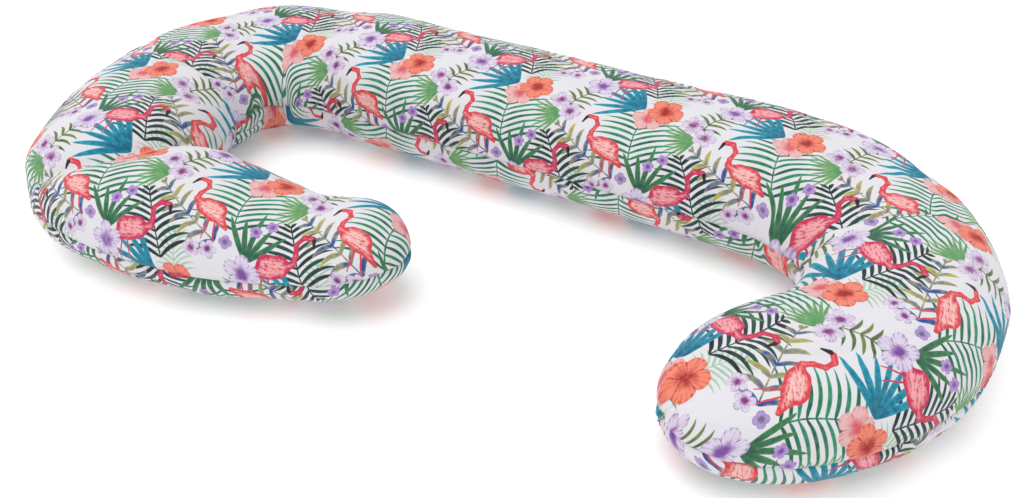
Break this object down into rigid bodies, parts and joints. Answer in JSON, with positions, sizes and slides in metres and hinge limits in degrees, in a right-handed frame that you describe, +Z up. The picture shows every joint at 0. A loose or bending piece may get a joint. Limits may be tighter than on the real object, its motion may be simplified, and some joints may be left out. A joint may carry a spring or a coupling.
{
  "type": "full-body nursing pillow",
  "caption": "C-shaped full-body nursing and pregnancy pillow: fibre-filled bolster in a tropical-print cover with a zip along the back seam.",
  "frame": {"origin": "centre of the footprint on the floor", "axes": "+X along the long straight back, from the hooked left arm's side to the right corner; +Y towards the outer side of the back; both arms lie towards -Y; +Z up"},
  "size_m": [1.3752, 0.6965, 0.1661],
  "materials": {
    "cover": "printed cotton",
    "casing": "plain white cotton",
    "filling": "white polyester fibre",
    "zip_tape": "white woven tape",
    "zip_coil": "white nylon",
    "zip_metal": "nickel grey"
  },
  "bodies": {
    "pillow": {"cover_top_left": "cover", "cover_top_back": "cover", "cover_top_right": "cover", "cover_bottom_left": "cover", "cover_bottom_back": "cover", "cover_bottom_right": "cover", "casing_upper": "casing", "casing_lower": "casing", "fibre_filling": "filling", "zip_tape_upper": "zip_tape", "zip_tape_lower": "zip_tape", "zip_coil_upper": "zip_coil", "zip_coil_lower": "zip_coil", "zip_top_stop_upper": "zip_metal", "zip_top_stop_lower": "zip_metal", "zip_bottom_stop": "zip_metal"},
    "slider": {"zip_slider": "zip_metal"},
    "pull": {"zip_pull_tab": "zip_metal"}
  },
  "joints": [
    {"name": "zip_slide", "type": "slide", "parent": "pillow", "child": "slider", "axis": [-1, 0, 0], "range_m": [0, 0.452]},
    {"name": "pull_tab_swing", "type": "hinge", "parent": "slider", "child": "pull", "pos_m": [0.20818, 0.34618, 0.07232], "axis": [0, 0, -1], "range_deg": [0, 175]}
  ]
}
